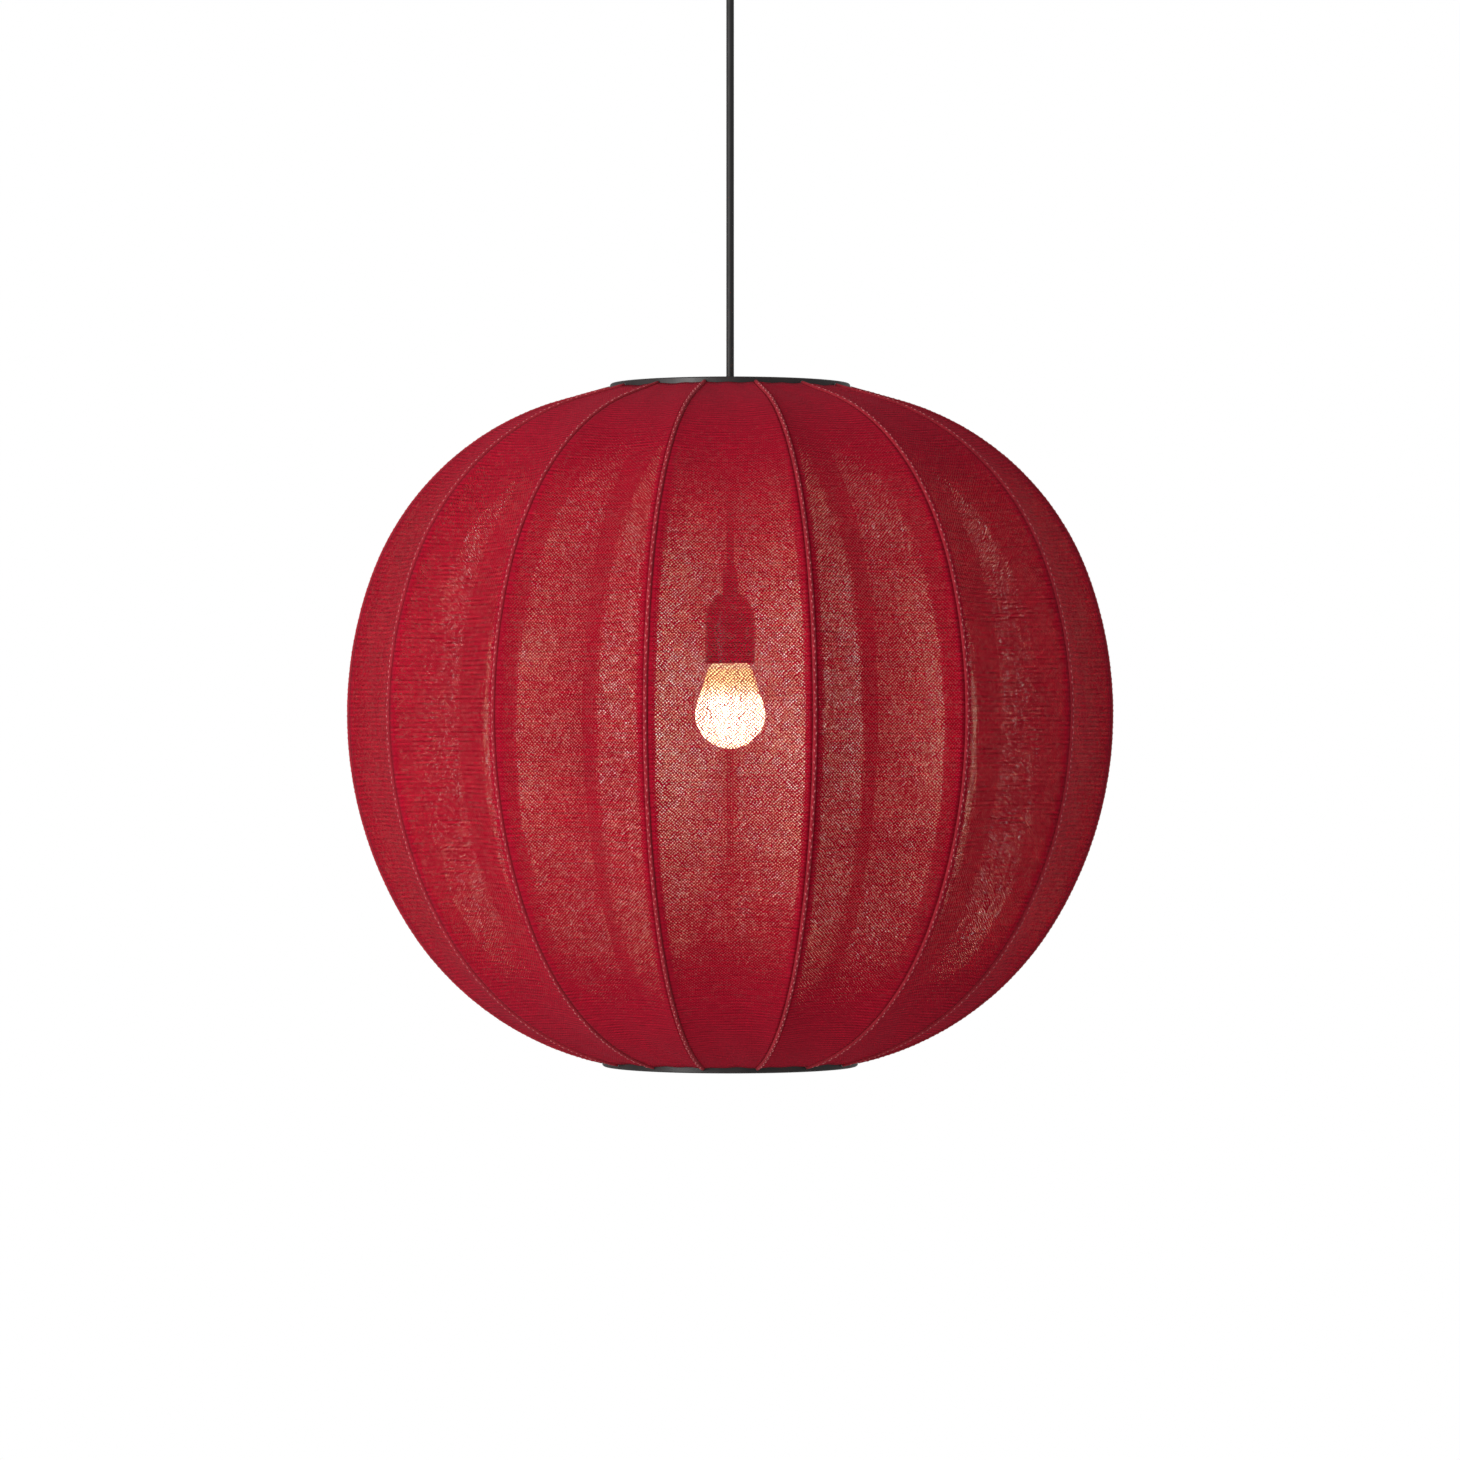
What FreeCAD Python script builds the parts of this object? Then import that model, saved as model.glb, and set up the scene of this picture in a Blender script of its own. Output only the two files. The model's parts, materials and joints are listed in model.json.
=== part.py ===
import FreeCAD, Part
import math
import os

# A pendant globe lamp: fifteen sprung steel ribs bow out between two black rings, and fifteen
# knitted gores are stretched over them. It hangs on a round cord from a ceiling rose, with a
# lampholder and an opal bulb inside. Millimetres, +Z up. The origin is on the ceiling, on the
# cord's axis, and +X runs along the ceiling bracket.

Vector = FreeCAD.Vector
UP = Vector(0, 0, 1)
BACK = Vector(0, 1, 0)
ORIGIN = Vector(0, 0, 0)

# ---- driving sizes: shade ---------------------------------------------------------------------
rib_count = 15
globe_radius = 300.0  # outside of the sleeves at the widest level
equator_below_ceiling = 650.0
top_ring_rise = 258.3  # widest level up to the top ring's upper face
bottom_ring_drop = 275.0  # widest level down to the bottom ring's lower face

rib_wire = 3.0
sleeve_cloth = 0.8  # knitted sleeve over the rib, outside the wire
upper_first_turn = 20.0  # degrees that the outline turns through its first arc
upper_end_slope = 16.0  # degrees above level where the rib meets the top ring
upper_straight = 40.0  # straight run of the rib before the top ring
lower_first_turn = 32.0
lower_end_slope = 13.0
lower_straight = 1.0

top_ring_outside = 94.0
bottom_ring_outside = 100.0
ring_width = 10.0
ring_height = 6.5
ring_chamfer = 0.8
socket_depth = 4.5
socket_clearance = 0.1
socket_offset = 0.45  # how far a socket's mouth lies from the ring's middle, away from its end

cloth = 1.2
side_gap = 0.4  # between a rib's wire and the hems on both sides
saddle_depth = 7.0  # how far a gore sinks behind the line between its ribs, at the widest level
hem_at_top_ring = 7.0
hem_at_shoulder = 30.0
hem_at_equator = 26.0
hem_below = 17.0
hem_at_bottom_ring = 7.0
cloth_gap = 0.4  # between a gore's edge and its ring

# ---- driving sizes: spider and cord grip in the top ring ---------------------------------------
arm_count = 3
arm_width = 9.0
arm_thick = 2.0
arm_turn = 90.0  # degrees from +X to the first arm, which points at the back
tab_length = 12.0
tab_width = 13.0
tab_thick = 2.2
eye_outside = 28.0
eye_thick = 3.0
grip_shaft = 14.0
turning_gap = 0.3
pin_gap = 0.08
grip_flange = 26.0
grip_flange_thick = 3.0
grip_collar = 17.0
grip_collar_length = 13.0
grip_nut_outside = 24.0
grip_nut_thick = 3.0

# ---- driving sizes: cord -----------------------------------------------------------------------
cord_diameter = 6.0
cord_clearance = 0.1
bend_gap = 1.5  # from a bending point to the stiff stretch on each side of it
first_bend_below_ceiling = 118.0
second_bend_below_first = 32.0
holder_bend_below_grip = 8.0
conductor_diameter = 2.4
conductor_pitch = 3.2

# ---- driving sizes: ceiling bracket and rose ---------------------------------------------------
strip_width = 20.0
strip_thick = 1.5
hat_width = 40.0
hat_drop = 34.0
flange_length = 21.0
slot_spacing = 62.0
slot_width = 4.4
slot_length = 9.0
web_hole = 8.0
clamp_size = Vector(28, 12, 9)
clamp_screw_spacing = 19.0
small_screw = 3.0
screw_head = 5.5
screw_head_thick = 1.8
screw_clearance = 0.1
screw_slot = 0.8  # width of the slot across a screw head
screw_slot_depth = 0.6
grub_slot = 0.7  # width of the slot across a grub screw's end
grub_slot_depth = 1.0
grub_below_face = 0.3  # how far a grub screw's end lies inside the part it is screwed into
lead_clearance = 0.15  # around a lead in the terminal block
terminal_size = Vector(16, 12, 11)
terminal_above_clamp = 4.0
terminal_entry = 5.0

rose_radius = 50.0
rose_depth = 40.0
rose_wall = 1.2
rose_corner = 9.0
gland_stem = 10.0
gland_flange = 18.0
gland_flange_thick = 3.0
gland_body = 14.0
gland_body_length = 9.0
gland_lip = 12.0
gland_lip_height = 2.5
sliding_gap = 0.3

# ---- driving sizes: lampholder and bulb --------------------------------------------------------
holder_neck_top = 536.5  # below the ceiling
neck_diameter = 12.0
neck_length = 18.7
neck_spigot = 9.0
neck_spigot_length = 6.0
dome_top_diameter = 14.0
dome_height = 21.8
holder_diameter = 39.0
holder_wall = 1.6
skirt_length = 33.4
insert_clearance = 0.45
insert_step = 4.5  # from the insert's shoulder up to the dome's foot
insert_boss = 25.0
insert_boss_height = 6.5
insert_plate = 7.5
shell_bore = 27.0
shell_wall = 0.6
shell_length = 24.0
contact_length = 12.0
contact_width = 5.0
contact_thick = 0.6
contact_bump = 6.0
contact_bump_height = 1.3

bulb_gap = 0.2  # between the bulb's tip and the holder's spring contact
tip_diameter = 9.6
tip_thick = 1.4
tip_stem = 4.0
tip_stem_length = 2.5
cap_diameter = 26.2
cap_wall = 0.8
cap_neck = 12.0
cap_cone = 3.5
cap_length = 26.0
collar_diameter = 26.0
collar_height = 5.4
globe_neck = 34.3
bulb_diameter = 54.6
bulb_length = 62.2  # from the globe's neck to its lowest point
opal_wall = 1.2
board_diameter = 29.0
board_thick = 1.6

# ---- levels and radii worked out from them -----------------------------------------------------
equator = -equator_below_ceiling
cord_radius = cord_diameter / 2
rib_radius = globe_radius - sleeve_cloth - rib_wire / 2
step_angle = 360.0 / rib_count
half_step = math.radians(step_angle / 2)
ring_half = ring_height / 2
top_ring_level = equator + top_ring_rise - ring_half
bottom_ring_level = equator - bottom_ring_drop + ring_half
flange_top = top_ring_level - eye_thick / 2 - turning_gap
flange_bottom = flange_top - grip_flange_thick
grip_bottom = flange_bottom - grip_collar_length
first_bend = -first_bend_below_ceiling
second_bend = first_bend - second_bend_below_first
holder_bend = grip_bottom - holder_bend_below_grip
web_top = strip_thick - hat_drop
clamp_top = web_top + clamp_size.z
terminal_bottom = clamp_top + terminal_above_clamp


# ---- small helpers -----------------------------------------------------------------------------
def outline_face(points):
    """The flat face inside (radius, height) points, where a point with four numbers ends an arc.

    Its last two numbers are then a point that the arc passes through."""
    edges = []
    start = Vector(points[0][0], 0, points[0][1])
    last = start
    for point in points[1:] + [points[0][:2]]:
        end = Vector(point[0], 0, point[1])
        if (end - last).Length < 1e-6:
            continue
        if len(point) == 4:
            edges.append(Part.Arc(last, Vector(point[2], 0, point[3]), end).toShape())
        else:
            edges.append(Part.LineSegment(last, end).toShape())
        last = end
    return Part.Face(Part.Wire(edges))


def turned(points):
    """A solid of revolution about the lamp's axis."""
    return outline_face(points).revolve(ORIGIN, UP, 360)


def tube(outside, inside, low, high):
    """A round tube on the lamp's axis, from its diameters."""
    solid = Part.makeCylinder(outside / 2, high - low, Vector(0, 0, low))
    if inside:
        solid = solid.cut(Part.makeCylinder(inside / 2, high - low + 2, Vector(0, 0, low - 1)))
    return solid


def block(size, centre_x, centre_y, low):
    """A box of this size, centred in X and Y, standing on the level low."""
    corner = Vector(centre_x - size.x / 2, centre_y - size.y / 2, low)
    return Part.makeBox(size.x, size.y, size.z, corner)


def around(solid, angle):
    """A copy of a solid turned about the lamp's axis."""
    copy = solid.copy()
    copy.rotate(ORIGIN, UP, angle)
    return copy


def save(name, *solids):
    shape = solids[0] if len(solids) == 1 else Part.makeCompound(solids)
    shape.exportStep(os.path.join("parts", name + ".step"))
    print(f"{name}: {shape.Volume:.1f} mm3, valid {shape.isValid()}, {len(shape.Solids)} solid(s)")


# ---- the rib's outline -------------------------------------------------------------------------
def half_outline(rise, ring_outside, first_turn, end_slope, straight):
    """One half of a rib, from the widest level to its ring: two tangent arcs and a straight run.

    The two radii follow from where the rib has to end. Every station is (radius, height above
    or below the widest level, turn in radians), and each arc gives its own start and end."""
    turn = math.radians(first_turn)
    full = math.radians(90 - end_slope)
    inward = rib_radius - ring_outside / 2 - straight * math.sin(full)
    along = rise - straight * math.cos(full)
    a, b = 1 - math.cos(turn), math.cos(turn) - math.cos(full)
    c, d = math.sin(turn), math.sin(full) - math.sin(turn)
    first = (inward * d - along * b) / (a * d - b * c)
    second = (along * a - inward * c) / (a * d - b * c)
    return {"first": first, "second": second, "turn": turn, "full": full, "straight": straight}


def station(half, angle, beyond=0.0):
    """(radius, height, turn) on a half outline where it has turned by this angle."""
    first_part = min(angle, half["turn"])
    radius = rib_radius - half["first"] * (1 - math.cos(first_part))
    height = half["first"] * math.sin(first_part)
    if angle > half["turn"]:
        radius -= half["second"] * (math.cos(half["turn"]) - math.cos(angle))
        height += half["second"] * (math.sin(angle) - math.sin(half["turn"]))
    return (radius - beyond * math.sin(angle), height + beyond * math.cos(angle), angle)


upper = half_outline(
    top_ring_rise - ring_half - socket_offset,
    2 * top_ring_outside,
    upper_first_turn,
    upper_end_slope,
    upper_straight,
)
lower = half_outline(
    bottom_ring_drop - ring_half - socket_offset,
    2 * bottom_ring_outside,
    lower_first_turn,
    lower_end_slope,
    lower_straight,
)
print(f"upper radii {upper['first']:.1f} {upper['second']:.1f}")
print(f"lower radii {lower['first']:.1f} {lower['second']:.1f}")


def in_plane(point, side):
    """An outline point in the XZ plane, above (side 1) or below (side -1) the widest level."""
    return Vector(point[0], 0, equator + side * point[1])


def half_path(half, side):
    """The edges of a rib's half, from the widest level into its ring's socket."""
    corners = [station(half, 0), station(half, half["turn"]), station(half, half["full"])]
    middles = [
        station(half, half["turn"] / 2),
        station(half, (half["turn"] + half["full"]) / 2),
    ]
    end = station(half, half["full"], half["straight"] + socket_depth)
    points = [in_plane(p, side) for p in corners]
    edges = [
        Part.Arc(points[i], in_plane(middles[i], side), points[i + 1]).toShape()
        for i in range(2)
    ]
    edges.append(Part.LineSegment(points[2], in_plane(end, side)).toShape())
    return edges


def socket(half, side):
    """The straight hole that a rib's end sits in."""
    mouth = in_plane(station(half, half["full"], half["straight"] - 3), side)
    depth = half["straight"] + socket_depth + socket_clearance
    end = in_plane(station(half, half["full"], depth), side)
    radius = rib_wire / 2 + socket_clearance
    return Part.makeCylinder(radius, (end - mouth).Length, mouth, end - mouth)


# ---- ribs, rings and gores ---------------------------------------------------------------------
def rib():
    """One bowed wire in the XZ plane, with its two ends in the sockets of the rings."""
    down = half_path(lower, -1)
    up = half_path(upper, 1)
    path = Part.Wire(list(reversed(down)) + up)
    start = in_plane(station(lower, lower["full"], lower["straight"] + socket_depth), -1)
    towards = in_plane(station(lower, lower["full"], lower["straight"]), -1) - start
    section = Part.Wire([Part.makeCircle(rib_wire / 2, start, towards)])
    solid = path.makePipeShell([section], True, False)
    expected = math.pi * rib_wire**2 / 4 * path.Length
    print(f"rib: {solid.Volume:.1f} mm3, section times length {expected:.1f}")
    return solid


def ring(outside_radius, level, half, side):
    """A flat ring with chamfered edges and a socket for every rib."""
    inside = outside_radius - ring_width
    low, high, cut = level - ring_half, level + ring_half, ring_chamfer
    solid = turned(
        [
            (inside + cut, low),
            (outside_radius - cut, low),
            (outside_radius, low + cut),
            (outside_radius, high - cut),
            (outside_radius - cut, high),
            (inside + cut, high),
            (inside, high - cut),
            (inside, low + cut),
        ]
    )
    hole = socket(half, side)
    return solid.cut([around(hole, rib_angle(i)) for i in range(rib_count)])


def rib_angle(index):
    """Ribs stand half a step each side of the front, which is -Y."""
    return -90 + step_angle / 2 + index * step_angle


def gore_section(place, side, hem):
    """The closed outline of a gore at one station: the saddle, its two hems and their thickness.

    It lies in a plane across the gore. Positions in that plane are (inward, across)."""
    radius, height, turn = place
    offset = rib_wire / 2 + side_gap
    half_width = radius * math.sin(half_step) - offset * math.cos(half_step)
    middle_radius = radius * math.cos(half_step) + offset * math.sin(half_step)
    widest = rib_radius * math.sin(half_step) - offset * math.cos(half_step)
    sag = saddle_depth * (half_width / widest) ** 2
    inward = Vector(-math.cos(turn), 0, -side * math.sin(turn))
    base = Vector(middle_radius, 0, equator + side * height)
    lean = math.cos(turn) * math.tan(half_step)
    thick = cloth / math.cos(half_step)

    def spot(deep, across):
        return base + inward * deep + Vector(0, across, 0)

    def edge_spots(sign):
        """Outside corner, hem's outer foot, hem's inner foot and inside corner, on one side."""
        return [
            spot(0, sign * half_width),
            spot(hem, sign * (half_width - hem * lean)),
            spot(hem, sign * (half_width - hem * lean - thick)),
            spot(cloth, sign * (half_width - cloth * lean - thick)),
        ]

    left, right = edge_spots(-1), edge_spots(1)
    edges = [Part.Arc(left[0], spot(sag, 0), right[0]).toShape()]
    edges += [Part.LineSegment(right[i], right[i + 1]).toShape() for i in range(3)]
    edges.append(Part.Arc(right[3], spot(sag + cloth, 0), left[3]).toShape())
    edges += [Part.LineSegment(left[i], left[i - 1]).toShape() for i in (3, 2, 1)]
    return Part.Wire(edges)


def short_of_ring(half, ring_outside):
    """How far along a rib a gore stops before its ring, so that its straight edge clears it."""
    depth = (saddle_depth * (ring_outside / rib_radius) ** 2 + cloth) * math.cos(half["full"])
    offset = (rib_wire / 2 + side_gap) * math.sin(half_step)
    radius = (ring_outside + cloth_gap + depth - offset) / math.cos(half_step)
    return (radius - ring_outside) / math.sin(half["full"])


def gore():
    """One knitted gore between two ribs, centred on +X, with its hems turned inwards."""
    near_ring = short_of_ring(upper, top_ring_outside)
    low_ring = short_of_ring(lower, bottom_ring_outside)
    up, down = upper["full"], lower["full"]
    places = [
        (station(lower, down, lower["straight"] - low_ring), -1, hem_at_bottom_ring),
        (station(lower, down * 0.88), -1, (hem_at_bottom_ring + hem_below) / 2),
        (station(lower, down * 0.72), -1, hem_below),
        (station(lower, down * 0.52), -1, hem_below),
        (station(lower, lower["turn"] * 0.7), -1, (hem_below + hem_at_equator) / 2),
        (station(upper, 0.0), 1, hem_at_equator),
        (station(upper, upper["turn"]), 1, (hem_at_equator + hem_at_shoulder) / 2),
        (station(upper, up * 0.5), 1, hem_at_shoulder),
        (station(upper, up * 0.75), 1, hem_at_shoulder),
        (station(upper, up), 1, (hem_at_shoulder + hem_at_top_ring) / 2),
        (station(upper, up, upper["straight"] / 2), 1, (hem_at_shoulder + 3 * hem_at_top_ring) / 4),
        (station(upper, up, upper["straight"] - near_ring), 1, hem_at_top_ring),
    ]
    return Part.makeLoft([gore_section(*place) for place in places], True, False)


def shade():
    one_rib = rib()
    one_gore = gore()
    for i in range(rib_count):
        save(f"rib_{i + 1:02d}", around(one_rib, rib_angle(i)))
        save(f"knit_gore_{i + 1:02d}", around(one_gore, rib_angle(i) + step_angle / 2))
    save("bottom_ring", ring(bottom_ring_outside, bottom_ring_level, lower, -1))
    top = ring(top_ring_outside, top_ring_level, upper, 1)
    tab_outer = top_ring_outside - ring_width + 1
    tab_low = top_ring_level - arm_thick / 2 - tab_thick
    tab_size = Vector(tab_length + 1, tab_width, tab_thick)
    tab = block(tab_size, tab_outer - tab_size.x / 2, 0, tab_low)
    for i in range(arm_count):
        top = top.fuse(around(tab, arm_angle(i)))
    top = top.removeSplitter()
    save("top_ring", top.cut([around(arm_screw_hole(), arm_angle(i)) for i in range(arm_count)]))


# ---- spider and cord grip ----------------------------------------------------------------------
def arm_angle(index):
    return arm_turn + index * 360.0 / arm_count


screw_circle = top_ring_outside - ring_width - tab_length / 2


def arm_screw_hole():
    low = top_ring_level - arm_thick / 2 - tab_thick - 1
    height = arm_thick + tab_thick + 2
    return Part.makeCylinder(small_screw / 2 + screw_clearance, height, Vector(screw_circle, 0, low))


def spider():
    """Three flat arms from the top ring's tabs to an eye that turns on the cord grip."""
    eye_low = top_ring_level - eye_thick / 2
    solid = tube(eye_outside, 0, eye_low, eye_low + eye_thick)
    reach = top_ring_outside - ring_width - 0.5
    arm_size = Vector(reach, arm_width, arm_thick)
    arm = block(arm_size, reach / 2, 0, top_ring_level - arm_thick / 2)
    for i in range(arm_count):
        solid = solid.fuse(around(arm, arm_angle(i)))
    bore = Part.makeCylinder(grip_shaft / 2 + pin_gap, eye_thick + 4, Vector(0, 0, eye_low - 2))
    holes = [around(arm_screw_hole(), arm_angle(i)) for i in range(arm_count)]
    return solid.removeSplitter().cut([bore] + holes)


def slotted_screw(x, shank_low, head_low):
    """An upright screw at this X, with a flat head that has a slot across it."""
    shank = Part.makeCylinder(small_screw / 2, head_low - shank_low, Vector(x, 0, shank_low))
    head = Part.makeCylinder(screw_head / 2, screw_head_thick, Vector(x, 0, head_low))
    slot_low = head_low + screw_head_thick - screw_slot_depth
    slot = block(Vector(screw_head + 1, screw_slot, 2 * screw_slot_depth), x, 0, slot_low)
    return shank.fuse(head).removeSplitter().cut(slot)


def arm_screw():
    """The screw through an arm and its tab."""
    head_low = top_ring_level + arm_thick / 2
    return slotted_screw(screw_circle, head_low - arm_thick - tab_thick, head_low)


def grub(inner, outer, level):
    """A headless screw that points at the cord from behind, with a slot in its outer end."""
    solid = Part.makeCylinder(small_screw / 2, outer - inner, Vector(0, inner, level), BACK)
    slot_size = Vector(small_screw + 1, 2 * grub_slot_depth, grub_slot)
    return solid.cut(block(slot_size, 0, outer, level - grub_slot / 2))


def cord_grip():
    """The sleeve clamped on the cord: a collar, a flange that carries the spider, and a shaft."""
    nut_top = top_ring_level + eye_thick / 2 + turning_gap + grip_nut_thick
    bore = cord_radius + cord_clearance
    solid = turned(
        [
            (bore, grip_bottom),
            (grip_collar / 2, grip_bottom),
            (grip_collar / 2, flange_bottom),
            (grip_flange / 2, flange_bottom),
            (grip_flange / 2, flange_top),
            (grip_shaft / 2, flange_top),
            (grip_shaft / 2, nut_top + 0.5),
            (bore, nut_top + 0.5),
        ]
    )
    level = grip_bottom + grip_collar_length / 2
    hole = Part.makeCylinder(
        small_screw / 2 + screw_clearance, grip_collar, Vector(0, cord_radius, level), BACK
    )
    save("cord_grip", solid.cut(hole))
    inner = cord_radius + cord_clearance / 2
    save("grip_grub_screw", grub(inner, grip_collar / 2 - grub_below_face, level))
    nut_low = nut_top - grip_nut_thick
    nut_radius = grip_nut_outside / 2
    turns = [math.radians(60 * i) for i in range(7)]
    corners = [Vector(nut_radius * math.cos(t), nut_radius * math.sin(t), nut_low) for t in turns]
    nut = Part.Face(Part.makePolygon(corners)).extrude(Vector(0, 0, grip_nut_thick))
    shaft_hole = grip_shaft + 2 * screw_clearance
    save("grip_nut", nut.cut(tube(shaft_hole, 0, nut_low - 1, nut_top + 1)))


# ---- cord --------------------------------------------------------------------------------------
def cord():
    """The cord's stiff stretches, parted where it bends when the lamp swings."""
    save("cord_ceiling", tube(cord_diameter, 0, first_bend + bend_gap, clamp_top + cord_clearance))
    save("cord_swing_link", tube(cord_diameter, 0, second_bend + bend_gap, first_bend - bend_gap))
    save("cord_main", tube(cord_diameter, 0, holder_bend + bend_gap, second_bend - bend_gap))
    holder_end = -holder_neck_top - neck_length - neck_spigot_length
    save("cord_holder", tube(cord_diameter, 0, holder_end, holder_bend - bend_gap))
    length = (clamp_top - holder_end) / 1000
    print(f"cord from clamp to lampholder: {length:.3f} m, straight")


# ---- ceiling bracket and what it holds ---------------------------------------------------------
def bracket():
    """A hat-shaped strip: two slotted flanges on the ceiling, two legs and a web below."""
    half, foot = hat_width / 2, hat_width / 2 + flange_length
    points = [
        (-foot, 0),
        (-half + strip_thick, 0),
        (-half + strip_thick, web_top),
        (half - strip_thick, web_top),
        (half - strip_thick, 0),
        (foot, 0),
        (foot, -strip_thick),
        (half, -strip_thick),
        (half, -hat_drop),
        (-half, -hat_drop),
        (-half, -strip_thick),
        (-foot, -strip_thick),
    ]
    face = outline_face(points)
    face.translate(Vector(0, -strip_width / 2, 0))
    solid = face.extrude(Vector(0, strip_width, 0))
    cuts = [Part.makeCylinder(web_hole / 2, strip_thick + 2, Vector(0, 0, -hat_drop - 1))]
    straight = slot_length - slot_width
    for side in (-1, 1):
        centre = side * slot_spacing / 2
        low, deep = -strip_thick - 1, strip_thick + 2
        cuts.append(block(Vector(straight, slot_width, deep), centre, 0, low))
        for end in (-1, 1):
            x = centre + end * straight / 2
            cuts.append(Part.makeCylinder(slot_width / 2, deep, Vector(x, 0, low)))
        cuts.append(
            Part.makeCylinder(
                small_screw / 2 + screw_clearance,
                strip_thick + 2,
                Vector(side * clamp_screw_spacing / 2, 0, -hat_drop - 1),
            )
        )
    save("ceiling_bracket", solid.cut(cuts))


def clamp():
    """The strain relief on the web, its two screws, the leads and the terminal block."""
    body = block(clamp_size, 0, 0, web_top)
    low, deep = web_top - 1, clamp_size.z + 2
    cuts = [Part.makeCylinder(cord_radius + cord_clearance, deep, Vector(0, 0, low))]
    screws = []
    for side in (-1, 1):
        x = side * clamp_screw_spacing / 2
        cuts.append(Part.makeCylinder(small_screw / 2 + screw_clearance, deep, Vector(x, 0, low)))
        screws.append(slotted_screw(x, web_top - strip_thick, clamp_top))
    save("strain_clamp", body.cut(cuts))
    save("clamp_screws", *screws)

    housing = block(terminal_size, 0, 0, terminal_bottom)
    leads, holes = [], []
    for side in (-1, 1):
        x = side * conductor_pitch / 2
        radius = conductor_diameter / 2
        low = clamp_top + cord_clearance
        length = terminal_bottom + terminal_entry - low
        leads.append(Part.makeCylinder(radius, length, Vector(x, 0, low)))
        hole_low = Vector(x, 0, terminal_bottom - 1)
        holes.append(Part.makeCylinder(radius + lead_clearance, terminal_size.z + 2, hole_low))
    save("cord_leads", *leads)
    save("terminal_block", housing.cut(holes))


def rose():
    """The ceiling cup with its snap-in gland and grub screw, which slide down the cord together."""
    radius, wall, corner = rose_radius, rose_wall, rose_corner
    slant = corner * (1 - math.sqrt(0.5))
    inner_corner = corner - wall
    inner_slant = wall + inner_corner * (1 - math.sqrt(0.5))
    hole = gland_stem / 2 + screw_clearance
    cup = turned(
        [
            (hole, -rose_depth),
            (radius - corner, -rose_depth),
            (radius, -rose_depth + corner, radius - slant, -rose_depth + slant),
            (radius, 0),
            (radius - wall, 0),
            (radius - wall, -rose_depth + corner),
            (radius - corner, -rose_depth + wall, radius - inner_slant, -rose_depth + inner_slant),
            (hole, -rose_depth + wall),
        ]
    )
    save("ceiling_rose", cup)
    bore = cord_radius + sliding_gap
    floor_top = -rose_depth + wall
    lip_top = floor_top + gland_lip_height
    shelf = -rose_depth - gland_flange_thick
    low = shelf - gland_body_length
    gland = turned(
        [
            (bore, low),
            (gland_body / 2 - 1, low),
            (gland_body / 2, low + 1),
            (gland_body / 2, shelf),
            (gland_flange / 2, shelf),
            (gland_flange / 2, -rose_depth),
            (gland_stem / 2, -rose_depth),
            (gland_stem / 2, floor_top),
            (gland_lip / 2, floor_top),
            (gland_stem / 2, lip_top),
            (bore, lip_top),
        ]
    )
    level = shelf - gland_body_length / 2
    hole = Part.makeCylinder(
        small_screw / 2 + screw_clearance, gland_body, Vector(0, cord_radius, level), BACK
    )
    save("rose_gland", gland.cut(hole))
    save("rose_grub_screw", grub(bore, gland_body / 2 - grub_below_face, level))
    print(f"gland's lower end {low:.1f}")


# ---- lampholder --------------------------------------------------------------------------------
dome_top = -holder_neck_top - neck_length
dome_foot = dome_top - dome_height
skirt_low = dome_foot - skirt_length
holder_radius = holder_diameter / 2
insert_low = dome_foot - insert_plate + insert_step
# The dome's outline is one arc that ends upright on the skirt.
dome_inset = holder_radius - dome_top_diameter / 2
dome_arc = (dome_inset**2 + dome_height**2) / (2 * dome_inset)
dome_centre = holder_radius - dome_arc


def dome_point(wall, height):
    """(radius, level) on the dome, this far inside its outer face, at this height over its foot."""
    arc = dome_arc - wall
    return (dome_centre + math.sqrt(arc**2 - height**2), dome_foot + height)


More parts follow.
